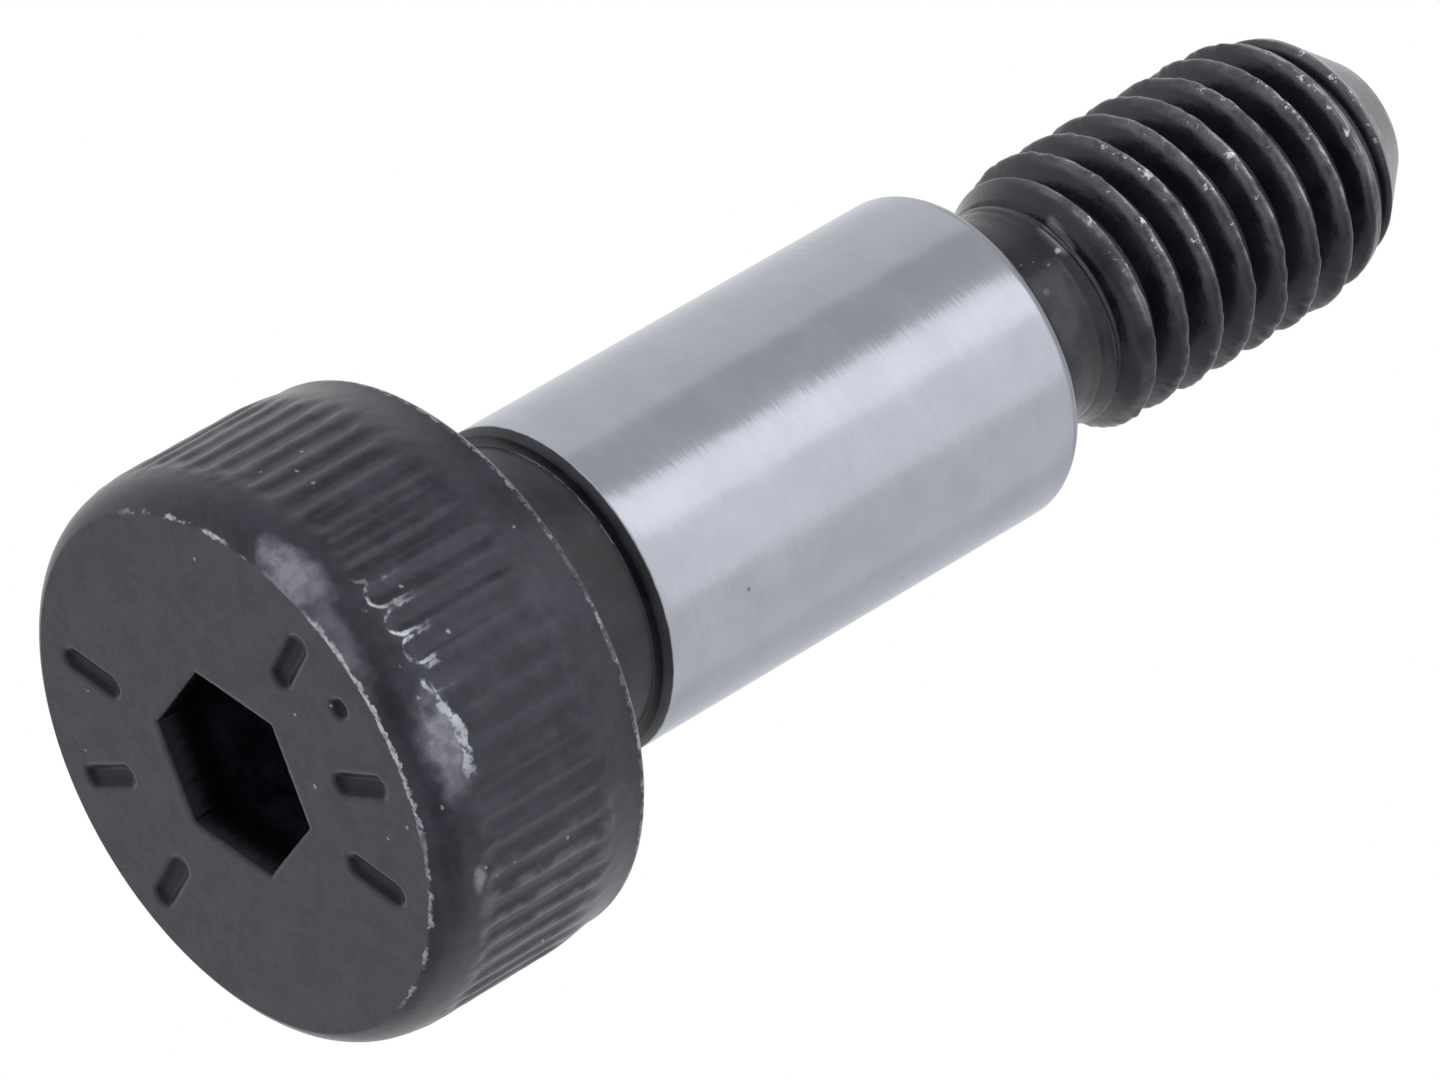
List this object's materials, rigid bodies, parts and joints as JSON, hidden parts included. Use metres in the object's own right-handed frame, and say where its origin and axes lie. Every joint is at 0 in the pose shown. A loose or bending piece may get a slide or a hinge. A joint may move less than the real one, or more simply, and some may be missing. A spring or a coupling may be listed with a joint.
{
  "type": "shoulder bolt",
  "caption": "Socket head shoulder bolt with a knurled round head, hexagon socket, ground cylindrical shoulder and a short threaded end.",
  "frame": {"origin": "centre of the flat face of the head, which the bolt stands on", "axes": "+Z along the bolt from the head to the threaded end, +X towards one corner of the hexagon socket"},
  "size_m": [0.0102, 0.0102, 0.026],
  "materials": {
    "black_oxide_steel": "matte black oxide on the head, grooves and thread; the shoulder is ground to bright satin steel"
  },
  "bodies": {
    "root": {"shoulder_bolt": "black_oxide_steel"}
  },
  "joints": []
}
